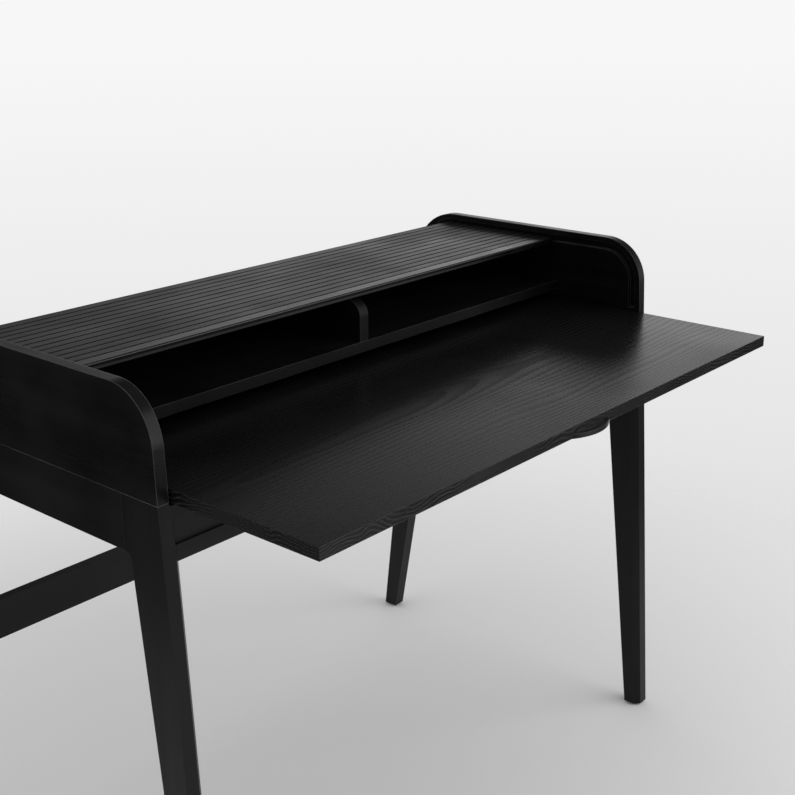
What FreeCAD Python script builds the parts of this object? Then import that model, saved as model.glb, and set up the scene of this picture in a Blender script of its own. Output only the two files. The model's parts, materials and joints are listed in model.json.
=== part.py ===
"""Writing desk with a tambour top and a writing board that slides out.

Frame: X to the right, Y to the back, Z up, origin on the floor under the middle of the desk as it stands
with the tambour open and the writing board drawn out. Millimetres.
"""
import FreeCAD, Part
import math
import os
import re
from types import SimpleNamespace
from FreeCAD import Placement, Rotation, Vector

# Driving dimensions. Names that end in share are ratios, names that end in count are numbers of pieces.
SIZES = {
    # whole desk
    "overall_width": 1050,
    "overall_height": 850,
    "panel_lean_share": 0.05,
    "leg_lean_share": 0.067,
    # side panels above the seam
    "panel_height": 132,
    "panel_depth": 484,
    "panel_thick": 16,
    "corner_radius": 71,
    "rear_corner_radius": 85,
    # aprons
    "apron_height": 71,
    "apron_thick": 16,
    "front_apron_drop": 4,
    "front_band_height": 20,
    "front_band_reach": 3,
    "rear_apron_inset": 66,
    "rear_apron_drop": 4,
    # legs
    "front_leg_thick": 28,
    "front_leg_bevel": 9,
    "front_block": 65,
    "front_knee": 54,
    "front_foot": 28,
    "rear_leg_thick": 24,
    "rear_block": 70,
    "rear_knee": 58,
    "rear_foot": 27,
    "rear_kick": 78,
    "knee_radius": 12,
    "front_scarf_drop": 2,
    "front_scarf_length": 46,
    "rear_scarf_drop": 95,
    "rear_scarf_length": 30,
    # glides under the feet
    "glide_thick": 3,
    "glide_radius": 8,
    "glide_pin_radius": 1.5,
    "glide_pin_length": 12,
    # stretcher between the rear legs
    "stretcher_height": 60,
    "stretcher_thick": 16,
    "stretcher_drop": 311,
    "stretcher_inset": 12.7,
    "tenon_length": 12,
    "tenon_shoulder": 4,
    "tenon_clear": 0.1,
    # gallery
    "shelf_thick": 16,
    "shelf_rise": 28,
    "gallery_inset": 106,
    "gallery_depth": 214,
    "inner_back_thick": 8,
    "inner_back_top": 93,
    "inner_back_foot": 17,
    "divider_thick": 18,
    "divider_height": 60,
    "divider_setback": 1.5,
    "divider_radius": 23,
    "divider_back_radius": 25,
    "cleat_section": 10,
    "cleat_end_gap": 4,
    # back of the tail channel
    "back_thick": 7,
    "back_top": 57,
    "back_foot": 92,
    # writing board
    "board_thick": 16,
    "board_depth": 440,
    "board_gap": 5,
    "board_reach": 226,
    "board_sink": 1.6,
    # pull on the front edge of the board
    "pull_width": 90,
    "pull_reach": 13.5,
    "pull_thick": 6,
    "pull_dish_radius": 5,
    "pull_dish_depth": 1.5,
    "pull_dish_inset": 6,
    "pull_tenon_width": 60,
    "pull_tenon_thick": 3,
    # guide rails and runners
    "guide_width": 14,
    "guide_height": 28,
    "guide_drop": 4,
    "guide_web": 6,
    "guide_slot": 10,
    "guide_end_gap": 1,
    "runner_clear": 0.3,
    "runner_web": 7,
    "runner_height": 24,
    "runner_length": 125,
    # stop pegs under the board
    "peg_radius": 4,
    "peg_length": 22,
    "peg_depth": 8,
    "peg_spread": 400,
    # bottom panel under the board, and the corner blocks that carry it
    "bottom_thick": 5,
    "bottom_drop": 58,
    "block_size": 22,
    # tambour
    "slat_pitch": 17.5,
    "slat_face": 14.8,
    "slat_root": 12.2,
    "slat_thick": 6,
    "slat_edge_radius": 0.4,
    "slat_end_clear": 0.5,
    "lead_slat_count": 2,
    "front_slat_count": 4,
    "top_slat_count": 6,
    "rear_slat_count": 4,
    "tail_slat_count": 8,
    "lead_nose_radius": 2,
    "lead_lip_inset": 6,
    "lead_lip_width": 5,
    "lead_lip_depth": 6,
    "canvas_thick": 0.8,
    "canvas_margin": 10,
    # track for the slats in the side panels
    "track_inset": 20,
    "track_back_inset": 33,
    "track_foot": 15,
    "groove_foot": 19,
    "groove_depth": 6,
    "groove_clear": 0.5,
    "groove_room": 5,
    # dowels across the seam, first and second in each front and rear block, one near each apron end
    "dowel_radius": 4,
    "dowel_length": 36,
    "dowel_end_clear": 1,
    "front_dowel_first": 36,
    "front_dowel_second": 54,
    "apron_dowel_inset": 85,
    "rear_dowel_first": 56,
    "rear_dowel_second": 12,
    # screws of the cleats and guide rails
    "screw_radius": 2,
    "screw_length": 18,
    "screw_head_radius": 3.6,
    "screw_head_height": 2.2,
    "screw_end_gap": 40,
    "pin_clear": 0.1,
    # cuts run past the surface by this, and points nearer than the tolerance are one point
    "overrun": 5,
    "tolerance": 0.001,
}

doc = FreeCAD.newDocument("writing_desk")
sheet = doc.addObject("Spreadsheet::Sheet", "Sizes")
for row, (alias, number) in enumerate(SIZES.items(), start=1):
    sheet.set(f"A{row}", alias)
    sheet.set(f"B{row}", str(number))
    sheet.setAlias(f"B{row}", alias)
doc.recompute()
size = SimpleNamespace(**{alias: float(sheet.get(alias)) for alias in SIZES})

# Planes that several pieces share. Heights count from the floor, depths from the middle of the desk.
half_width = size.overall_width / 2
inside = half_width - size.panel_thick
between_front_legs = half_width - size.front_leg_thick
between_rear_legs = half_width - size.rear_leg_thick
seam = size.overall_height - size.panel_height
front = (size.board_reach + size.pull_reach - size.panel_depth - size.rear_kick) / 2
rear = front + size.panel_depth
apron_foot = seam - size.apron_height
front_apron_face = front - size.front_band_reach
front_apron_back = front_apron_face + size.apron_thick
rear_apron_front = rear - size.rear_apron_inset
gallery_back = rear - size.gallery_inset
gallery_front = gallery_back - size.gallery_depth
shelf_under = seam + size.shelf_rise
shelf_top = shelf_under + size.shelf_thick
board_front = front - size.board_reach
board_under = seam - size.board_sink
nodes = []


def bind(obj, prop, formula):
    """Ties a property to a formula in the names of the sheet."""
    obj.setExpression(prop, re.sub(r"[a-z]\w*", r"Sizes.\g<0>", formula))


def node(obj, label):
    """Names a finished piece and marks it for its own file."""
    obj.Label = label
    nodes.append(obj)
    return obj


def box(name, formulas, corner):
    """A block with bound sizes at its lowest corner."""
    block = doc.addObject("Part::Box", name)
    for prop, formula in zip(("Length", "Width", "Height"), formulas):
        bind(block, prop, formula)
    block.Placement = Placement(Vector(*corner), Rotation())
    return block


def rod(name, radius, length, base, axis):
    """A round bar with bound sizes from a base point along an axis."""
    bar = doc.addObject("Part::Cylinder", name)
    bind(bar, "Radius", radius)
    bind(bar, "Height", length)
    bar.Placement = Placement(Vector(*base), Rotation(Vector(0, 0, 1), Vector(*axis)))
    return bar


def group(name, pieces, place=None):
    """Separate solids kept together, or one solid set down at another place."""
    kept = doc.addObject("Part::Compound", name)
    kept.Links = pieces
    if place:
        kept.Placement = place
    return kept


def fuse(name, pieces):
    """One solid out of pieces that meet."""
    joined = doc.addObject("Part::MultiFuse", name)
    joined.Shapes = pieces
    joined.Refine = True
    return joined


def cut(name, base, tools):
    """A solid less some tools."""
    rest = doc.addObject("Part::Cut", name)
    rest.Base = base
    rest.Tool = group(name + "_tools", tools)
    return rest


def mirror(name, source):
    """The same piece on the other side of the middle plane."""
    twin = doc.addObject("Part::Mirroring", name)
    twin.Source = source
    twin.Normal = Vector(1, 0, 0)
    return twin


def both_sides(name, pieces):
    """Pieces of the left side together with their twins on the right."""
    left = group(name + "_left", pieces)
    return group(name, [left, mirror(name + "_right", left)])


def outline(corners):
    """Closed outline through corners (across, up, radius), with tangent arcs where there is a radius."""
    points = [Vector(across, up, 0) for across, up, _ in corners]
    count = len(points)
    spans = []
    for index, here in enumerate(points):
        radius = corners[index][2]
        if not radius:
            spans.append((here, None, here))
            continue
        back = points[index - 1] - here
        ahead = points[(index + 1) % count] - here
        half_angle = back.getAngle(ahead) / 2
        reach = min(radius / math.tan(half_angle), back.Length, ahead.Length)
        radius = reach * math.tan(half_angle)
        back.normalize()
        ahead.normalize()
        inward = (back + ahead).normalize()
        middle = here + inward * (radius / math.sin(half_angle) - radius)
        spans.append((here + back * reach, middle, here + ahead * reach))
    edges = []
    for index, (start, middle, end) in enumerate(spans):
        if middle:
            edges.append(Part.ArcOfCircle(start, middle, end))
        following = spans[(index + 1) % count][0]
        if (following - end).Length > size.tolerance:
            edges.append(Part.LineSegment(end, following))
    return edges


def sketch_in(body, plane, name, edges):
    """A sketch on one of the origin planes of a body."""
    sketch = body.newObject("Sketcher::SketchObject", name)
    support = next(item for item in body.Origin.OriginFeatures if item.Role == plane)
    sketch.AttachmentSupport = (support, [""])
    sketch.MapMode = "FlatFace"
    sketch.addGeometry(edges, False)
    return sketch


def padded(name, plane, edges, length, corner):
    """A body with one pad of an outline."""
    body = doc.addObject("PartDesign::Body", name)
    pad = body.newObject("PartDesign::Pad", name + "_pad")
    pad.Profile = sketch_in(body, plane, name + "_outline", edges)
    bind(pad, "Length", length)
    body.Tip = pad
    body.Placement = Placement(Vector(*corner), Rotation())
    return body


def pocket(body, plane, edges, depth=None, offset=None):
    """Cuts an outline out of a body, to a depth or right through both ways."""
    before = body.Tip.Name
    sketch = sketch_in(body, plane, before + "_cut", edges)
    if offset:
        bind(sketch, "AttachmentOffset.Base.z", offset)
    feature = body.newObject("PartDesign::Pocket", before + "_pocket")
    feature.Profile = sketch
    if depth:
        bind(feature, "Length", depth)
    else:
        feature.Type = "ThroughAll"
        feature.SideType = "Symmetric"
    body.Tip = feature


# Track of the tambour: a line at the inner face of the slats, up the front, over the top, down the back.
lean = math.atan(size.panel_lean_share)
turn = size.corner_radius - size.track_inset
turn_height = size.panel_height - size.corner_radius
front_turn = Vector(size.corner_radius / math.cos(lean) + turn_height * math.tan(lean), turn_height, 0)
rear_turn = Vector(size.panel_depth - size.track_back_inset - turn, turn_height, 0)
track_start = Vector(size.track_inset / math.cos(lean) + size.track_foot * math.tan(lean),
                     size.track_foot, 0)
front_angle = math.pi - lean
front_run = (front_turn.y + turn * math.sin(front_angle) - size.track_foot) / math.cos(lean)
front_bend = turn * (front_angle - math.pi / 2)
top_run = rear_turn.x - front_turn.x
rear_bend = turn * math.pi / 2


def on_track(run):
    """Depth, height and outward angle on the track at a length from its front foot."""
    if run < front_run:
        return track_start.x + run * math.sin(lean), track_start.y + run * math.cos(lean), front_angle
    run -= front_run
    if run < front_bend:
        angle = front_angle - run / turn
        return front_turn.x + turn * math.cos(angle), front_turn.y + turn * math.sin(angle), angle
    run -= front_bend
    if run < top_run:
        return front_turn.x + run, front_turn.y + turn, math.pi / 2
    run -= top_run
    if run < rear_bend:
        angle = math.pi / 2 - run / turn
        return rear_turn.x + turn * math.cos(angle), rear_turn.y + turn * math.sin(angle), angle
    return rear_turn.x + turn, rear_turn.y - (run - rear_bend), 0


def track_corners(offset, foot):
    """Corners of a line beside the track, with the arcs of its two bends."""
    at_front = size.track_inset - offset
    top = size.panel_height - at_front
    back = rear_turn.x + turn + offset

    def on_front(height):
        return at_front / math.cos(lean) + height * math.tan(lean)

    return [(on_front(foot), foot, 0), (on_front(top), top, turn + offset), (back, top, turn + offset),
            (back, -size.overrun, 0)]


# Side panels with the groove of the track, dowel bores at the seam and screw bores for the cleats.
dowel_places = [
    size.front_dowel_first,
    size.front_dowel_second,
    size.front_block + size.apron_dowel_inset,
    size.panel_depth - size.rear_block - size.apron_dowel_inset,
    size.panel_depth - size.rear_dowel_first,
    size.panel_depth - size.rear_dowel_second,
]
cleat_ends = (gallery_front + size.cleat_end_gap, gallery_back - size.cleat_end_gap)
guide_ends = (front + size.front_block + size.guide_end_gap, rear - size.rear_block - size.guide_end_gap)
cleat_screw_places = [cleat_ends[0] + size.screw_end_gap, cleat_ends[1] - size.screw_end_gap]
guide_screw_places = [
    guide_ends[0] + size.screw_end_gap,
    sum(guide_ends) / 2,
    guide_ends[1] - size.screw_end_gap,
]
cleat_screw_height = shelf_under - size.cleat_section / 2
guide_middle = seam - size.guide_drop - size.guide_height / 2
dowel_line = -half_width + size.panel_thick / 2


def dowel_bores(name, places, direction):
    """Bores from the seam into the piece above or below it."""
    return [rod(f"{name}_{index}", "dowel_radius + pin_clear", "dowel_length / 2 + dowel_end_clear",
                (dowel_line, front + place, seam), (0, 0, direction)) for index, place in enumerate(places)]


def screw(name, head, clear=""):
    """A countersunk screw on the left side, from its head toward the side, or the room for it."""
    shank = rod(name + "_shank", "screw_radius" + clear, "screw_length" + clear, head, (-1, 0, 0))
    cone = doc.addObject("Part::Cone", name + "_head")
    bind(cone, "Radius1", "screw_head_radius" + clear)
    bind(cone, "Radius2", "screw_radius" + clear)
    bind(cone, "Height", "screw_head_height")
    cone.Placement = shank.Placement
    return fuse(name, [shank, cone])


def screws(name, depth, places, height, clear=""):
    """A row of screws on the left side."""
    return [screw(f"{name}_{index}", (depth, place, height), clear) for index, place in enumerate(places)]


cleat_face = -inside + size.cleat_section
guide_face = -inside + size.guide_web
room = " + pin_clear"

panel = padded("panel_blank", "YZ_Plane", outline([
    (0, 0, 0),
    (size.panel_depth, 0, 0),
    (size.panel_depth, size.panel_height, size.rear_corner_radius),
    (size.panel_height * size.panel_lean_share, size.panel_height, size.corner_radius),
]), "panel_thick", (-half_width, front, seam))
groove = track_corners(size.slat_thick + size.groove_room, size.groove_foot)
groove += reversed(track_corners(-size.groove_clear, size.groove_foot))
pocket(panel, "YZ_Plane", outline(groove), "groove_depth", "panel_thick")
panel_rooms = dowel_bores("panel_bore", dowel_places, 1)
panel_rooms += screws("panel_screw_room", cleat_face, cleat_screw_places, cleat_screw_height, room)
left_panel = node(cut("side_panel", panel, panel_rooms), "left_side_panel")
node(mirror("side_panel_twin", left_panel), "right_side_panel")

# Side aprons between the leg blocks.
apron = box("apron_blank", ("apron_thick", "panel_depth - front_block - rear_block", "apron_height"),
            (-half_width, front + size.front_block, apron_foot))
left_apron = node(cut("side_apron", apron, dowel_bores("apron_bore", dowel_places[2:4], -1)
                      + screws("apron_screw_room", guide_face, guide_screw_places, guide_middle, room)),
                  "left_side_apron")
node(mirror("side_apron_twin", left_apron), "right_side_apron")

# Legs, each with a block beside the apron, a rounded knee under it and a long taper to the foot.
# The front legs have a bevel at the edge between the front face and the inner face.
foot_drop = seam - size.glide_thick
front_toe = -foot_drop * size.leg_lean_share
front_leg = padded("front_leg_blank", "YZ_Plane", outline([
    (0, 0, 0),
    (front_toe, -foot_drop, 0),
    (front_toe + size.front_foot, -foot_drop, 0),
    (size.front_knee, -size.apron_height, size.knee_radius),
    (size.front_block, -size.apron_height, 0),
    (size.front_block, 0, 0),
]), "front_leg_thick", (-half_width, front, seam))
rear_heel = size.panel_depth + size.rear_kick
rear_leg = padded("rear_leg_blank", "YZ_Plane", outline([
    (size.panel_depth - size.rear_block, 0, 0),
    (size.panel_depth - size.rear_block, -size.apron_height, 0),
    (size.panel_depth - size.rear_knee, -size.apron_height, size.knee_radius),
    (rear_heel - size.rear_foot, -foot_drop, 0),
    (rear_heel, -foot_drop, 0),
    (size.panel_depth, 0, 0),
]), "rear_leg_thick", (-half_width, front, seam))


def thin_top(body, thick, drop, length):
    """Thins the top of a leg to the panel's thickness, with a slope below it."""
    slope_foot = -drop - length
    past = thick + size.overrun
    pocket(body, "XZ_Plane", outline([
        (size.panel_thick, size.overrun, 0),
        (size.panel_thick, -drop, 0),
        (thick, slope_foot, 0),
        (past, slope_foot, 0),
        (past, size.overrun, 0),
    ]))


thin_top(front_leg, size.front_leg_thick, size.front_scarf_drop, size.front_scarf_length)
thin_top(rear_leg, size.rear_leg_thick, size.rear_scarf_drop, size.rear_scarf_length)
bevel_turn = Rotation(Vector(1, 0, 0), -math.degrees(math.atan(size.leg_lean_share)))
bevel_turn = bevel_turn.multiply(Rotation(Vector(1, 0, 0), Vector(1, 1, 0)))
bevel_line = Vector(-between_front_legs - size.front_leg_bevel, front, seam)
bevel_reach = bevel_turn.multVec(Vector(-size.overrun, -size.front_leg_bevel - size.overrun, -seam))
bevel = box("leg_bevel", (
    "2 * front_leg_bevel + 2 * overrun",
    "front_leg_bevel + overrun",
    "overall_height",
), (0, 0, 0))
bevel.Placement = Placement(bevel_line + bevel_reach, bevel_turn)
feet = [(-half_width + size.front_leg_thick / 2, front + front_toe + size.front_foot / 2),
        (-half_width + size.rear_leg_thick / 2, front + rear_heel - size.rear_foot / 2)]
rear_leg_slope = (size.rear_kick + size.rear_knee - size.rear_foot) / (foot_drop - size.apron_height)
stretcher_below_knee = size.stretcher_drop + size.stretcher_height / 2 - size.apron_height
stretcher_front = rear - size.rear_knee + stretcher_below_knee * rear_leg_slope + size.stretcher_inset
stretcher_corner = (-between_rear_legs, stretcher_front, seam - size.stretcher_drop - size.stretcher_height)


def pin_room(name, foot):
    """The bore in a foot for the pin of its glide."""
    return rod(name, "glide_pin_radius + pin_clear", "glide_pin_length + pin_clear",
               (*foot, size.glide_thick), (0, 0, 1))


mortise = box("mortise", (
    "2 * tenon_length + 2 * tenon_clear",
    "stretcher_thick - 2 * tenon_shoulder + 2 * tenon_clear",
    "stretcher_height - 2 * tenon_shoulder + 2 * tenon_clear",
), [place + shift - size.tenon_clear for place, shift in
    zip(stretcher_corner, (-size.tenon_length, size.tenon_shoulder, size.tenon_shoulder))])
left_front_leg = node(cut("front_leg", front_leg, dowel_bores("front_leg_bore", dowel_places[:2], -1)
                          + [pin_room("front_pin_room", feet[0]), bevel]), "front_left_leg")
left_rear_leg = node(cut("rear_leg", rear_leg, dowel_bores("rear_leg_bore", dowel_places[4:], -1)
                         + [pin_room("rear_pin_room", feet[1]), mortise]), "rear_left_leg")
right_front_leg = node(mirror("front_leg_twin", left_front_leg), "front_right_leg")
node(mirror("rear_leg_twin", left_rear_leg), "rear_right_leg")

glides = []
for index, foot in enumerate(feet):
    disc = rod(f"glide_disc_{index}", "glide_radius", "glide_thick", (*foot, 0), (0, 0, 1))
    pin = rod(f"glide_pin_{index}", "glide_pin_radius", "glide_thick + glide_pin_length",
              (*foot, 0), (0, 0, 1))
    glides.append(fuse(f"glide_{index}", [disc, pin]))
node(both_sides("glides", glides), "foot_glides")

dowels = [rod(f"dowel_{index}", "dowel_radius", "dowel_length",
              (dowel_line, front + place, seam - size.dowel_length / 2), (0, 0, 1))
          for index, place in enumerate(dowel_places)]
node(both_sides("dowels", dowels), "panel_dowels")

# Cross pieces of the frame. The front apron has a band along its foot that stands forward, and its ends are
# cut to the shape of the front legs.
front_band = box("front_band", ("overall_width - 2 * panel_thick", "apron_thick", "front_band_height"),
                 (-inside, front_apron_face, apron_foot))
front_web = box("front_web", (
    "overall_width - 2 * panel_thick",
    "apron_thick - front_band_reach",
    "apron_height - front_apron_drop",
), (-inside, front, apron_foot))
front_apron = fuse("front_apron_blank", [front_band, front_web])
node(cut("front_apron", front_apron, [left_front_leg, right_front_leg]), "front_apron")
node(box("rear_apron", ("overall_width - 2 * panel_thick", "apron_thick", "apron_height - rear_apron_drop"),
         (-inside, rear_apron_front, apron_foot)), "rear_apron")
stretcher = box("stretcher_bar", (
    "overall_width - 2 * rear_leg_thick",
    "stretcher_thick",
    "stretcher_height",
), stretcher_corner)
tenons = box("stretcher_tenons", (
    "overall_width - 2 * rear_leg_thick + 2 * tenon_length",
    "stretcher_thick - 2 * tenon_shoulder",
    "stretcher_height - 2 * tenon_shoulder",
), [place + shift for place, shift in
    zip(stretcher_corner, (-size.tenon_length, size.tenon_shoulder, size.tenon_shoulder))])
node(fuse("stretcher", [stretcher, tenons]), "rear_stretcher")

block_height = "apron_height - bottom_drop - bottom_thick"
front_block = padded("front_corner_block", "XY_Plane", outline([
    (0, 0, 0), (size.block_size, 0, 0), (0, size.block_size, 0)]),
    block_height, (-between_front_legs, front_apron_back, apron_foot))
rear_block = padded("rear_corner_block", "XY_Plane", outline([
    (0, 0, 0), (0, -size.block_size, 0), (size.block_size, 0, 0)]),
    block_height, (-inside, rear_apron_front, apron_foot))
node(both_sides("blocks", [front_block, rear_block]), "corner_blocks")
block_line = front + size.front_block
node(padded("bottom", "XY_Plane", outline([
    (-between_front_legs, front_apron_back, 0),
    (between_front_legs, front_apron_back, 0),
    (between_front_legs, block_line, 0),
    (inside, block_line, 0),
    (inside, rear_apron_front, 0),
    (-inside, rear_apron_front, 0),
    (-inside, block_line, 0),
    (-between_front_legs, block_line, 0),
]), "bottom_thick", (0, 0, seam - size.bottom_drop - size.bottom_thick)), "bottom_panel")

# Gallery between the side panels, and the two walls of the channel for the tail of the tambour.
node(box("shelf", ("overall_width - 2 * panel_thick", "gallery_depth", "shelf_thick"),
         (-inside, gallery_front, shelf_under)), "shelf")
divider_length = size.gallery_depth - size.divider_setback
node(padded("divider", "YZ_Plane", outline([
    (0, 0, 0),
    (divider_length, 0, 0),
    (divider_length, size.divider_height, size.divider_back_radius),
    (0, size.divider_height, size.divider_radius),
]), "divider_thick", (-size.divider_thick / 2, gallery_back - divider_length, shelf_top)), "shelf_divider")
node(box("inner_back", (
    "overall_width - 2 * panel_thick",
    "inner_back_thick",
    "inner_back_top - inner_back_foot",
), (-inside, gallery_back, seam + size.inner_back_foot)), "inner_back_panel")
node(box("back", ("overall_width - 2 * panel_thick", "back_thick", "back_top + back_foot"),
         (-inside, rear - size.back_thick, seam - size.back_foot)), "back_panel")
cleat = box("cleat_blank", ("cleat_section", "gallery_depth - 2 * cleat_end_gap", "cleat_section"),
            (-inside, cleat_ends[0], shelf_under - size.cleat_section))
left_cleat = node(cut("cleat", cleat, screws("cleat_screw_room", cleat_face, cleat_screw_places,
                                             cleat_screw_height, room)), "left_shelf_cleat")
node(mirror("cleat_twin", left_cleat), "right_shelf_cleat")
node(both_sides("cleat_fixings", screws("cleat_screw", cleat_face, cleat_screw_places, cleat_screw_height)),
     "cleat_screws")

# Guide rails on the side aprons, with a slot toward the middle.
rail = box("guide_blank", ("guide_width", "panel_depth - front_block - rear_block - 2 * guide_end_gap",
                           "guide_height"),
           (-inside, guide_ends[0], seam - size.guide_drop - size.guide_height))
slot = box("guide_slot", ("guide_width", "panel_depth", "guide_slot"),
           (guide_face, front, guide_middle - size.guide_slot / 2))
left_rail = node(cut("guide", rail, [slot] + screws("guide_screw_room", guide_face, guide_screw_places,
                                                    guide_middle, room)), "left_guide_rail")
node(mirror("guide_twin", left_rail), "right_guide_rail")
node(both_sides("guide_fixings", screws("guide_screw", guide_face, guide_screw_places, guide_middle)),
     "guide_screws")

# Writing board, drawn out, with its pull, runners and stop pegs.
pull_under = board_under
mortise_height = pull_under + (size.pull_thick - size.pull_tenon_thick) / 2
board = box("board_blank", (
    "overall_width - 2 * panel_thick - 2 * board_gap",
    "board_depth",
    "board_thick",
), (-inside + size.board_gap, board_front, board_under))
pull_mortise = box("pull_mortise", (
    "pull_tenon_width + 2 * tenon_clear",
    "2 * tenon_length + 2 * tenon_clear",
    "pull_tenon_thick + 2 * tenon_clear",
), (-size.pull_tenon_width / 2 - size.tenon_clear, board_front - size.tenon_length - size.tenon_clear,
    mortise_height - size.tenon_clear))
peg_depth_line = front_apron_back + size.runner_clear + size.peg_radius
peg_spots = [(side * size.peg_spread / 2, peg_depth_line) for side in (-1, 1)]
peg_rooms = [rod(f"peg_room_{index}", "peg_radius + pin_clear", "peg_depth + pin_clear",
                 (*spot, board_under), (0, 0, 1)) for index, spot in enumerate(peg_spots)]
node(cut("board", board, [pull_mortise] + peg_rooms), "writing_board")
pegs = [rod(f"peg_{index}", "peg_radius", "peg_length",
            (*spot, board_under + size.peg_depth - size.peg_length), (0, 0, 1))
        for index, spot in enumerate(peg_spots)]
node(group("pegs", pegs), "stop_pegs")

chord = size.pull_width / 2
pull_edge = Part.ArcOfCircle(Vector(-chord, 0, 0), Vector(0, -size.pull_reach, 0), Vector(chord, 0, 0))
pull_chord = Part.LineSegment(Vector(chord, 0, 0), Vector(-chord, 0, 0))
crescent = padded("pull_crescent", "XY_Plane", [pull_edge, pull_chord], "pull_thick",
                  (0, board_front, pull_under))
pull_tenon = box("pull_tenon", ("pull_tenon_width", "tenon_length", "pull_tenon_thick"),
                 (-size.pull_tenon_width / 2, board_front, mortise_height))
pull_radius = (chord ** 2 + size.pull_reach ** 2) / (2 * size.pull_reach)
dish = doc.addObject("Part::Torus", "pull_dish")
bind(dish, "Radius1", "(pull_width ^ 2 / 4 + pull_reach ^ 2) / (2 * pull_reach) - pull_dish_inset")
bind(dish, "Radius2", "pull_dish_radius")
dish_height = pull_under + size.pull_thick + size.pull_dish_radius - size.pull_dish_depth
dish.Placement = Placement(Vector(0, board_front - size.pull_reach + pull_radius, dish_height), Rotation())
node(fuse("pull", [cut("pull_dished", crescent, [dish]), pull_tenon]), "board_pull")

runner_line = -inside + size.guide_width + size.runner_clear
runner_back = rear_apron_front - size.runner_clear - size.board_reach
runner_start = runner_back - size.runner_length
web = box("runner_web", ("runner_web", "runner_length", "runner_height"),
          (runner_line, runner_start, board_under - size.runner_height))
tongue = box("runner_tongue", ("guide_width - guide_web", "runner_length", "guide_slot - 2 * runner_clear"),
             (guide_face + size.runner_clear, runner_start,
              guide_middle - size.guide_slot / 2 + size.runner_clear))
left_runner = node(fuse("runner", [web, tongue]), "left_runner")
node(mirror("runner_twin", left_runner), "right_runner")

# Tambour, open. Slats are counted from the lead rail; each lies flat on the track at its middle.
slat_length = "overall_width - 2 * panel_thick - 2 * slat_end_clear"
slat_end = -inside + size.slat_end_clear
lead_pitch = front_run - (size.lead_slat_count - 1 / 2) * size.slat_pitch
last_on_top = int(size.lead_slat_count + size.front_slat_count + size.top_slat_count)


def slat_middle(number):
    """Length from the lead's front edge to the middle of a slat."""
    return lead_pitch + (number - 1 / 2) * size.slat_pitch if number else lead_pitch / 2


travel = front_run + front_bend + top_run - slat_middle(last_on_top)


def slat_place(number):
    """Where a slat lies with the tambour open."""
    depth, height, angle = on_track(slat_middle(number) + travel)
    return Placement(Vector(slat_end, front + depth, seam + height),
                     Rotation(Vector(1, 0, 0), math.degrees(angle - math.pi / 2)))


def slat_section(root, face, nose, lip=()):
    """Section of a slat, wider at its outer face, with a radius at the front edge."""
    return outline([
        (-face / 2, size.slat_thick, nose),
        (-root / 2, 0, 0),
        *lip,
        (root / 2, 0, 0),
        (face / 2, size.slat_thick, size.slat_edge_radius),
    ])


spare = lead_pitch - size.slat_pitch
lead_root = size.slat_root + spare
lip_front = -lead_root / 2 + size.lead_lip_inset
lip_back = lip_front + size.lead_lip_width
lead_lip = [
    (lip_front, 0, 0),
    (lip_front, -size.lead_lip_depth, size.slat_edge_radius),
    (lip_back, -size.lead_lip_depth, size.slat_edge_radius),
    (lip_back, 0, 0),
]
plain_section = slat_section(size.slat_root, size.slat_face, size.slat_edge_radius)
lead_section = slat_section(lead_root, size.slat_face + spare, size.lead_nose_radius, lead_lip)
slat = padded("slat_blank", "YZ_Plane", plain_section, slat_length, (0, 0, 0))
lead = padded("lead_blank", "YZ_Plane", lead_section, slat_length, (0, 0, 0))
lead.Placement = slat_place(0)
node(lead, "lead_rail")


def slats(name, numbers):
    """Slats of one moving group."""
    return [group(f"{name}_{number}", [slat], slat_place(number)) for number in numbers]


def canvas(name, width, number, start):
    """Strip of canvas on the inner face, in the place of a slat, from a start across it."""
    strip = box(name, (slat_length + " - 2 * canvas_margin", width, "canvas_thick"), (0, 0, 0))
    place = slat_place(number)
    corner = place.multVec(Vector(size.canvas_margin, start, -size.canvas_thick))
    strip.Placement = Placement(corner, place.Rotation)
    return strip


number = int(size.lead_slat_count)
lead_reach = slat_middle(number) - slat_middle(0) + size.slat_root / 2 - lip_back
node(group("lead_slats", slats("lead_slat", range(1, number + 1))), "lead_slats")
lead_canvas = canvas("lead_canvas", "canvas_margin", 0, lip_back)
lead_canvas.setExpression("Width", None)
lead_canvas.Width = lead_reach
node(lead_canvas, "lead_canvas")
for index in range(1, int(size.front_slat_count) + 1):
    number += 1
    node(slats("front_slat", [number])[0], f"front_slat_{index}")
    node(canvas(f"front_strip_{index}", "slat_root", number, -size.slat_root / 2), f"front_canvas_{index}")
row = range(number + 1, number + 1 + int(size.top_slat_count))
node(group("top_slats", slats("top_slat", row)), "top_slats")
node(canvas("top_strip", "(top_slat_count - 1) * slat_pitch + slat_root", row[0],
            -size.slat_root / 2), "top_canvas")
number = row[-1]
for index in range(1, int(size.rear_slat_count) + 1):
    number += 1
    node(slats("rear_slat", [number])[0], f"rear_slat_{index}")
    node(canvas(f"rear_strip_{index}", "slat_root", number, -size.slat_root / 2), f"rear_canvas_{index}")
row = range(number + 1, number + 1 + int(size.tail_slat_count))
node(group("tail_slats", slats("tail_slat", row)), "tail_slats")
node(canvas("tail_strip", "(tail_slat_count - 1) * slat_pitch + slat_root", row[0],
            -size.slat_root / 2), "tail_canvas")

doc.recompute()
for obj in doc.Objects:
    if "Invalid" in obj.State or "Error" in obj.State:
        raise RuntimeError(f"{obj.Label} has the state {obj.State}")
for obj in nodes:
    if obj.Shape.isNull() or not obj.Shape.isValid() or not obj.Shape.Solids:
        raise RuntimeError(f"{obj.Label} has no valid solid")

os.makedirs("parts", exist_ok=True)
for obj in nodes:
    obj.Shape.exportStep(f"parts/{obj.Label}.step")
print(len(nodes), "pieces written")
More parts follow.
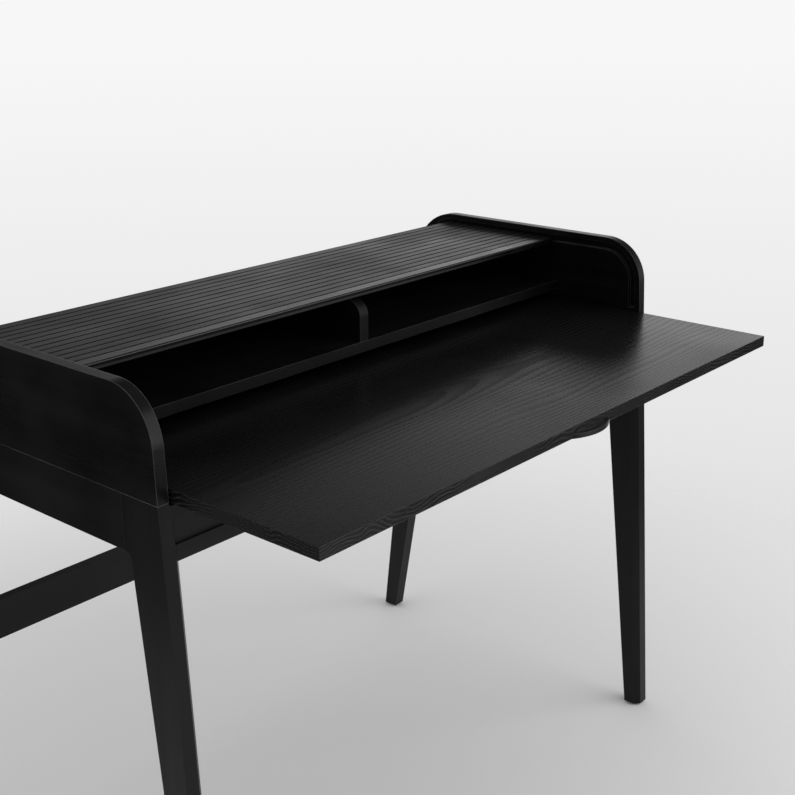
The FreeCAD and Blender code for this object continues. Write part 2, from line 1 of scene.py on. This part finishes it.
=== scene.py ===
import json
import math

import bpy
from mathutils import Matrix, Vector


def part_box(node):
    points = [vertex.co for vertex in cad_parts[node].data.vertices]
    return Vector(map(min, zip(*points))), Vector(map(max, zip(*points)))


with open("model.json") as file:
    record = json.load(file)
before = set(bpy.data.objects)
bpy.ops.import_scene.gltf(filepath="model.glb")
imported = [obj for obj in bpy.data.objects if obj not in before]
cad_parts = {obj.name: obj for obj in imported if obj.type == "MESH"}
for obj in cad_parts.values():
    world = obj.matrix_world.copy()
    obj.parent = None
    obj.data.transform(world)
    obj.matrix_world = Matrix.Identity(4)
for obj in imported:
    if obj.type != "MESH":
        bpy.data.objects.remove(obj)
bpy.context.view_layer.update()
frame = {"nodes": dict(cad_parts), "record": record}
scene = bpy.context.scene
scene.view_settings.view_transform = "Standard"

# Lengths are in metres, frequencies are per metre and colours are linear
UNIT = (0.0, 1.0)
NOISE_SPAN = (0.3, 0.7)
SPOT_SPAN = (0.35, 0.65)
# Places of the colours among the sockets of a Mix node
MIX_FIRST = 6
MIX_SECOND = 7
MIX_RESULT = 2


def add(tree, kind, inputs=None, **settings):
    """Adds a shader node, sets or links its inputs, and returns its outputs."""
    node = tree.nodes.new(kind)
    for name, value in settings.items():
        setattr(node, name, value)
    for name, value in (inputs or {}).items():
        if isinstance(value, bpy.types.NodeSocket):
            tree.links.new(value, node.inputs[name])
        else:
            node.inputs[name].default_value = value
    return node.outputs


def computed(tree, operation, first, second=0.0):
    """One step of arithmetic."""
    return add(tree, "ShaderNodeMath", {0: first, 1: second}, operation=operation)["Value"]


def times(tree, first, second):
    """Product of two values."""
    return computed(tree, "MULTIPLY", first, second)


def plus(tree, first, second):
    """Sum of two values."""
    return computed(tree, "ADD", first, second)


def mapped(tree, value, span, target):
    """Carries a value from one range to another and clamps it."""
    return add(tree, "ShaderNodeMapRange", {"Value": value, "From Min": span[0], "From Max": span[1],
                                            "To Min": target[0], "To Max": target[1]})["Result"]


def opaque(colour):
    """Three numbers with full alpha, or a socket as it is."""
    return colour if isinstance(colour, bpy.types.NodeSocket) else (*colour, 1.0)


def mixed(tree, share, first, second):
    """Blends two colours, each a socket or three numbers."""
    inputs = {"Factor": share, MIX_FIRST: opaque(first), MIX_SECOND: opaque(second)}
    return add(tree, "ShaderNodeMix", inputs, data_type="RGBA")[MIX_RESULT]


def blended(tree, share, first, second):
    """Blends two shaders."""
    return add(tree, "ShaderNodeMixShader", {0: share, 1: first, 2: second})["Shader"]


def noise(tree, coordinate, scale, detail=2.0):
    """Plain noise of one frequency."""
    return add(tree, "ShaderNodeTexNoise", {"Vector": coordinate, "Scale": scale, "Detail": detail})["Fac"]


def fibres(tree, coordinate, grain_axis, along, across, detail=3.0):
    """Noise drawn out along the grain, with one frequency along it and one across it."""
    scale = [across] * 3
    scale["XYZ".index(grain_axis)] = along
    drawn = add(tree, "ShaderNodeMapping", {"Vector": coordinate, "Scale": scale})["Vector"]
    return noise(tree, drawn, 1.0, detail)


def edge_rounding(tree, radius, flat_cosine=0.995, edge_cosine=0.85):
    """Rounded shading normal at the edges, and a mask that rises as it leans away from the face."""
    rounded = add(tree, "ShaderNodeBevel", {"Radius": radius}, samples=6)["Normal"]
    face = add(tree, "ShaderNodeNewGeometry")["Normal"]
    agree = add(tree, "ShaderNodeVectorMath", {0: rounded, 1: face}, operation="DOT_PRODUCT")["Value"]
    return rounded, mapped(tree, agree, (flat_cosine, edge_cosine), UNIT)


def new_material(name):
    """A node material with its tree, its Principled shader and the place on the object."""
    material = bpy.data.materials.new(name)
    material.use_nodes = True
    tree = material.node_tree
    return material, tree, tree.nodes["Principled BSDF"], add(tree, "ShaderNodeTexCoord")["Object"]


def dress(tree, shader, colour, roughness):
    """Links a colour and a roughness to a shader."""
    tree.links.new(colour, shader.inputs["Base Color"])
    tree.links.new(roughness, shader.inputs["Roughness"])


def bump(tree, shader, height, depth, normal=None, strength=1.0):
    """Raises the shading by a height, on a given normal or on the face's own."""
    inputs = {"Height": height, "Strength": strength, "Distance": depth}
    if normal is not None:
        inputs["Normal"] = normal
    tree.links.new(add(tree, "ShaderNodeBump", inputs)["Normal"], shader.inputs["Normal"])


def stained_wood(name, colour, pale, grain_axis, roughness, grain_depth, sheen, edge_radius, wear_and_highlight):
    """Wood under a thin dark finish: fibres, faint clouds, and soft edges painted paler, partly as rubbed
    wear and partly as a painted highlight line.
    """
    figure_span = (0.15, 0.4)
    pale_share = 0.025
    least_wear_and_highlight_share = 0.2
    fibre_gloss = 0.04
    cloud_gloss = 0.05
    material, tree, shader, place = new_material(name)
    shader.inputs["Specular IOR Level"].default_value = sheen
    fibre = fibres(tree, place, grain_axis, along=6.0, across=420.0)
    streak = fibres(tree, place, grain_axis, along=2.0, across=45.0, detail=2.0)
    cloud = noise(tree, place, scale=9.0)
    rounded, edge = edge_rounding(tree, edge_radius)
    figure = mapped(tree, times(tree, streak, cloud), figure_span, (0.0, pale_share))
    # Edges painted paler: rubbed wear and painted highlight lines along the rounded edges
    rubbed_and_highlit = times(tree, edge, mapped(tree, cloud, SPOT_SPAN, (least_wear_and_highlight_share * wear_and_highlight, wear_and_highlight)))
    body = mixed(tree, rubbed_and_highlit, mixed(tree, figure, colour, pale), pale)
    gloss = plus(tree, mapped(tree, fibre, NOISE_SPAN, (-fibre_gloss, fibre_gloss)),
                 mapped(tree, cloud, NOISE_SPAN, (roughness - cloud_gloss, roughness + cloud_gloss)))
    dress(tree, shader, body, gloss)
    bump(tree, shader, fibre, grain_depth, rounded)
    return material


def growth_rings(tree, place, grain_axis):
    """Rings around a heart below the writing board, each rising from 0 to 1 in its open-pored part."""
    ring_pitch = 0.007
    rise_shares = (0.35, 0.9)
    fall_shares = (1.0, 0.95)
    heart_share = 0.45
    heart_drop = 0.035
    swell_reach = 0.09
    wander_reach = 0.002
    low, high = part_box("writing_board")
    heart = ((low[0] + high[0]) / 2, low[1] + (high[1] - low[1]) * heart_share, low[2] - heart_drop)
    to_heart = [-value for value in heart]
    centred = add(tree, "ShaderNodeMapping", {"Vector": place, "Location": to_heart})["Vector"]
    flattened = [0.0 if axis == grain_axis else 1.0 for axis in "XYZ"]
    section = add(tree, "ShaderNodeMapping", {"Vector": centred, "Scale": flattened})["Vector"]
    radius = add(tree, "ShaderNodeVectorMath", {0: section}, operation="LENGTH")["Value"]
    swell = times(tree, fibres(tree, place, grain_axis, along=1.6, across=7.0, detail=1.5), swell_reach)
    wander = times(tree, fibres(tree, place, grain_axis, along=9.0, across=60.0, detail=2.0), wander_reach)
    depth = plus(tree, radius, plus(tree, swell, wander))
    year = computed(tree, "FRACT", computed(tree, "DIVIDE", depth, ring_pitch))
    return times(tree, mapped(tree, year, rise_shares, UNIT), mapped(tree, year, fall_shares, UNIT))


def strip_lines(tree, place, fibre):
    """Bent lines along the edge strips of the board, on upright faces only."""
    strip_pitch = 0.0022
    dark_share = 0.4
    fibre_shares = (0.3, 1.0)
    bend_reach = 0.12
    height = add(tree, "ShaderNodeSeparateXYZ", {"Vector": place})["Z"]
    bend = times(tree, noise(tree, place, scale=5.0, detail=3.0), bend_reach)
    lines = computed(tree, "PINGPONG", plus(tree, height, bend), strip_pitch)
    streaks = times(tree, mapped(tree, lines, (dark_share * strip_pitch, strip_pitch), UNIT),
                    mapped(tree, fibre, NOISE_SPAN, fibre_shares))
    face = add(tree, "ShaderNodeNewGeometry")["True Normal"]
    level = computed(tree, "ABSOLUTE", add(tree, "ShaderNodeSeparateXYZ", {"Vector": face})["Z"])
    return mapped(tree, computed(tree, "SUBTRACT", streaks, level), UNIT, UNIT)


def veneer(name, colour, pale, roughness, sheen, edge_radius=0.0008, grain_depth=0.000004):
    """Lacquered veneer of the writing board, with growth rings and pores along X, and edge strips."""
    tone_share = 0.1
    edge_share = 0.5
    pore_share = 0.3
    pore_span = (0.42, 0.58)
    ring_gloss = 0.07
    cloud_gloss = 0.03
    material, tree, shader, place = new_material(name)
    shader.inputs["Specular IOR Level"].default_value = sheen
    early = growth_rings(tree, place, "X")
    fibre = fibres(tree, place, "X", along=14.0, across=900.0)
    pore_noise = fibres(tree, place, "X", along=150.0, across=2500.0, detail=1.0)
    pores = times(tree, mapped(tree, pore_noise, pore_span, UNIT), early)
    cloud = noise(tree, place, scale=6.0)
    tone = times(tree, computed(tree, "SUBTRACT", 1.0, early), cloud)
    rounded, edge = edge_rounding(tree, edge_radius)
    figure = computed(tree, "MAXIMUM", strip_lines(tree, place, fibre), times(tree, tone, tone_share))
    body = mixed(tree, figure, colour, pale)
    # Edges blended toward the pale tone, as rubbed wear and as a painted highlight line
    body = mixed(tree, times(tree, edge, edge_share), body, pale)
    body = mixed(tree, pores, body, [value * pore_share for value in colour])
    gloss = plus(tree, mapped(tree, early, UNIT, (0.0, ring_gloss)),
                 mapped(tree, cloud, NOISE_SPAN, (roughness - cloud_gloss, roughness + cloud_gloss)))
    dress(tree, shader, body, gloss)
    bump(tree, shader, computed(tree, "SUBTRACT", fibre, pores), grain_depth, rounded)
    return material


def cloth(name, colour, pale, thread, weave_depth=0.0003):
    """Plain-woven canvas with threads along the axes."""
    roughness_range = (0.85, 0.97)
    material, tree, shader, place = new_material(name)
    shader.inputs["Sheen Weight"].default_value = 0.2
    wave = {"Vector": place, "Scale": 1 / (math.tau * thread), "Distortion": 0.6}
    threads = [add(tree, "ShaderNodeTexWave", wave, bands_direction=axis)["Fac"] for axis in "XYZ"]
    weave = times(tree, threads[0], computed(tree, "MAXIMUM", threads[1], threads[2]))
    fuzz = noise(tree, place, scale=250.0, detail=3.0)
    body = mixed(tree, times(tree, weave, fuzz), colour, pale)
    dress(tree, shader, body, mapped(tree, fuzz, NOISE_SPAN, roughness_range))
    bump(tree, shader, weave, weave_depth)
    return material


def plated_steel(name, colour, pale, edge_radius=0.0003, mark_depth=0.00005):
    """Zinc plate with turning marks and small spots."""
    edge_share = 0.6
    roughness_range = (0.28, 0.48)
    material, tree, shader, place = new_material(name)
    shader.inputs["Metallic"].default_value = 1.0
    marks = noise(tree, place, scale=1800.0)
    spots = noise(tree, place, scale=260.0, detail=3.0)
    rounded, edge = edge_rounding(tree, edge_radius)
    body = mixed(tree, mapped(tree, spots, SPOT_SPAN, UNIT), colour, pale)
    body = mixed(tree, times(tree, edge, edge_share), body, pale)
    dress(tree, shader, body, mapped(tree, marks, NOISE_SPAN, roughness_range))
    bump(tree, shader, marks, mark_depth, rounded, strength=0.4)
    return material


def felted_plastic(name, colour, pale, edge_radius=0.0006, grain_depth=0.0002):
    """Moulded plastic with a felt-like pressed grain."""
    edge_share = 0.5
    roughness_range = (0.6, 0.75)
    material, tree, shader, place = new_material(name)
    grain = add(tree, "ShaderNodeTexVoronoi", {"Vector": place, "Scale": 1400.0})["Distance"]
    cloud = noise(tree, place, scale=120.0)
    rounded, edge = edge_rounding(tree, edge_radius)
    body = mixed(tree, times(tree, edge, edge_share), mixed(tree, cloud, colour, pale), pale)
    dress(tree, shader, body, mapped(tree, cloud, NOISE_SPAN, roughness_range))
    bump(tree, shader, grain, grain_depth, rounded, strength=0.5)
    return material


BLACK = (0.002, 0.002, 0.0021)
# Pale grey of the edges, for rubbed wear and for painted highlight lines
RUBBED_AND_HIGHLIGHT = (0.14, 0.14, 0.138)
# Finishes that are the same on every piece of their slot
finishes = {
    "board_veneer": veneer("board_veneer", colour=(0.0018, 0.0018, 0.0018), pale=(0.045, 0.045, 0.0435),
                           roughness=0.25, sheen=0.5),
    "canvas_cloth": cloth("canvas_cloth", colour=(0.004, 0.004, 0.004), pale=(0.02, 0.02, 0.02),
                          thread=0.0012),
    "screw_steel": plated_steel("screw_steel", colour=(0.2, 0.2, 0.21), pale=(0.32, 0.32, 0.33)),
    "glide_plastic": felted_plastic("glide_plastic", colour=(0.012, 0.012, 0.012), pale=(0.03, 0.03, 0.03)),
    # The bottom panel is lighter than the black pieces: partly a grey stain, and partly painted light
    # standing in for light in the shaded space under the board
    "bottom_stain": stained_wood("bottom_stain", colour=(0.05, 0.05, 0.049), pale=RUBBED_AND_HIGHLIGHT,
                                 grain_axis="X", roughness=0.6, grain_depth=0.00003, sheen=0.3,
                                 edge_radius=0.0006, wear_and_highlight=0.4),
    "peg_wood": stained_wood("peg_wood", colour=(0.36, 0.24, 0.13), pale=(0.52, 0.38, 0.23),
                             grain_axis="Z", roughness=0.55, grain_depth=0.00006, sheen=0.5,
                             edge_radius=0.0004, wear_and_highlight=0.5),
}
# Black woods, with the grain along the longest side of each piece; the last value of each sets how strongly
# its edges are painted paler, as rubbed wear and as painted highlight lines (strongest on the panels and
# the lead)
woods = {
    "panel_lacquer": dict(roughness=0.3, grain_depth=0.00001, sheen=0.26, edge_radius=0.0012, wear_and_highlight=1.0),
    "frame_lacquer": dict(roughness=0.4, grain_depth=0.00002, sheen=0.22, edge_radius=0.0008, wear_and_highlight=0.25),
    "back_lacquer": dict(roughness=0.45, grain_depth=0.00002, sheen=0.2, edge_radius=0.001, wear_and_highlight=0.4),
    "gallery_lacquer": dict(roughness=0.45, grain_depth=0.00001, sheen=0.15, edge_radius=0.001, wear_and_highlight=0.6),
    "rail_wood": dict(roughness=0.5, grain_depth=0.00004, sheen=0.3, edge_radius=0.0008, wear_and_highlight=0.5),
    "block_wood": dict(roughness=0.55, grain_depth=0.00004, sheen=0.3, edge_radius=0.0008, wear_and_highlight=0.5),
    "pull_lacquer": dict(roughness=0.36, grain_depth=0.00002, sheen=0.45, edge_radius=0.0008, wear_and_highlight=0.6),
    "lead_lacquer": dict(roughness=0.28, grain_depth=0.00001, sheen=0.5, edge_radius=0.0008, wear_and_highlight=1.0),
    "slat_lacquer": dict(roughness=0.36, grain_depth=0.000012, sheen=0.4, edge_radius=0.0003, wear_and_highlight=0.05),
}


def finish_of(part):
    """The finish of a sub-part, made when its slot and grain are first met."""
    slot_name = part["material_slot"]
    if slot_name in finishes:
        return finishes[slot_name]
    low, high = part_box(part["node"])
    spans = [end - start for start, end in zip(low, high)]
    axis = "XYZ"[spans.index(max(spans))]
    name = f"{slot_name}_{axis.lower()}"
    if name not in finishes:
        finishes[name] = stained_wood(name, BLACK, RUBBED_AND_HIGHLIGHT, axis, **woods[slot_name])
    return finishes[name]


for part in frame["record"]["subparts"]:
    for slot in frame["nodes"][part["node"]].material_slots:
        slot.material = finish_of(part)

# Floor, which fades into the pale background
floor_radius = 12.0
floor_tone = (0.82, 0.82, 0.82, 1.0)
fade_start = 0.6
fade_end = 2.0
bpy.ops.mesh.primitive_circle_add(vertices=96, radius=floor_radius, fill_type="NGON")
floor = bpy.context.object
floor.name = "floor"
material, tree, shader, place = new_material("floor")
shader.inputs["Base Color"].default_value = floor_tone
shader.inputs["Roughness"].default_value = 0.9
shader.inputs["Specular IOR Level"].default_value = 0.1
distance = add(tree, "ShaderNodeVectorMath", {0: place}, operation="LENGTH")["Value"]
fade = add(tree, "ShaderNodeMapRange", {"Value": distance, "From Min": fade_start, "From Max": fade_end},
           interpolation_type="SMOOTHERSTEP")["Result"]
clear = add(tree, "ShaderNodeBsdfTransparent")["BSDF"]
faded = blended(tree, fade, shader.outputs["BSDF"], clear)
tree.links.new(faded, tree.nodes["Material Output"].inputs["Surface"])
floor.data.materials.append(material)

# World: pale where it is seen, a plain level of light, and walls that glossy surfaces mirror
world = bpy.data.worlds.new("world")
world.use_nodes = True
tree = world.node_tree
tree.nodes.remove(tree.nodes["Background"])
direction = add(tree, "ShaderNodeTexCoord")["Generated"]
axes = add(tree, "ShaderNodeSeparateXYZ", {"Vector": direction})
rise = axes["Z"]
light_level = 0.7
horizon_span = (-0.4, -0.05)
seen_levels = (0.76, 0.93)
front_span = (-0.15, 0.3)
dark_level = 0.02
full_cosine = 0.92
faded_share = 0.07


def background(strength):
    """White background of a strength."""
    return add(tree, "ShaderNodeBackground", {"Color": (1, 1, 1, 1), "Strength": strength})["Background"]


def glow(toward, narrow_cosine, strength, fade=None):
    """Brightness of a pale wall in one direction, which may fade out between two heights."""
    facing = add(tree, "ShaderNodeVectorMath", {0: direction, 1: toward}, operation="DOT_PRODUCT")["Value"]
    level = mapped(tree, facing, (narrow_cosine, full_cosine), (dark_level, strength))
    return times(tree, level, mapped(tree, rise, fade, (1.0, faded_share))) if fade else level


# A bright wall at the right, which ends toward the front, and dimmer ones around and above
right_wall = glow(toward=(0.95, 0.2, 0.0), narrow_cosine=0.55, strength=1.2, fade=(0.27, 0.37))
mirror_level = times(tree, right_wall, mapped(tree, axes["Y"], front_span, (dark_level, 1.0)))
dim_walls = [
    dict(toward=(0.4, -0.92, 0.0), narrow_cosine=0.84, strength=0.6, fade=(0.0, 0.2)),
    dict(toward=(0.25, 0.97, 0.0), narrow_cosine=0.75, strength=0.3, fade=(0.1, 0.3)),
    dict(toward=(-0.9, -0.43, 0.0), narrow_cosine=0.6, strength=0.3, fade=(0.1, 0.3)),
    dict(toward=(0.0, 0.0, 1.0), narrow_cosine=0.72, strength=0.3),
    dict(toward=(-0.55, 0.65, 0.52), narrow_cosine=0.84, strength=0.45),
]
for wall in dim_walls:
    mirror_level = computed(tree, "MAXIMUM", mirror_level, glow(**wall))
seen_level = mapped(tree, rise, horizon_span, seen_levels)
path = add(tree, "ShaderNodeLightPath")
reflected = computed(tree, "MAXIMUM", path["Is Glossy Ray"], path["Is Transmission Ray"])
lit = blended(tree, reflected, background(light_level), background(mirror_level))
surround = blended(tree, path["Is Camera Ray"], lit, background(seen_level))
tree.links.new(surround, tree.nodes["World Output"].inputs["Surface"])
scene.world = world


def placed(name, data, place, ahead):
    """Puts a lamp or camera in the scene, looking along a direction."""
    item = bpy.data.objects.new(name, data)
    item.location = place
    item.rotation_mode = "QUATERNION"
    item.rotation_quaternion = ahead.to_track_quat("-Z", "Y")
    scene.collection.objects.link(item)
    return item


# Soft square lamp at the front right
lamp_place = Vector((1.6, -2.4, 1.7))
lamp_target = Vector((0.0, 0.0, 0.7))
lamp_data = bpy.data.lights.new("key", "AREA")
lamp_data.size = 3.0
lamp_data.energy = 40
placed("key", lamp_data, lamp_place, lamp_target - lamp_place)

# Camera
camera_place = (-1.3428, -1.20585, 1.2861)
azimuth = math.radians(-49.52)
elevation = math.radians(16.57)
ahead = Vector((-math.sin(azimuth) * math.cos(elevation), math.cos(azimuth) * math.cos(elevation),
                -math.sin(elevation)))
camera_data = bpy.data.cameras.new("camera")
camera_data.lens = 58.03
camera_data.sensor_width = 36
camera_data.shift_y = -0.0601
scene.camera = placed("camera", camera_data, camera_place, ahead)
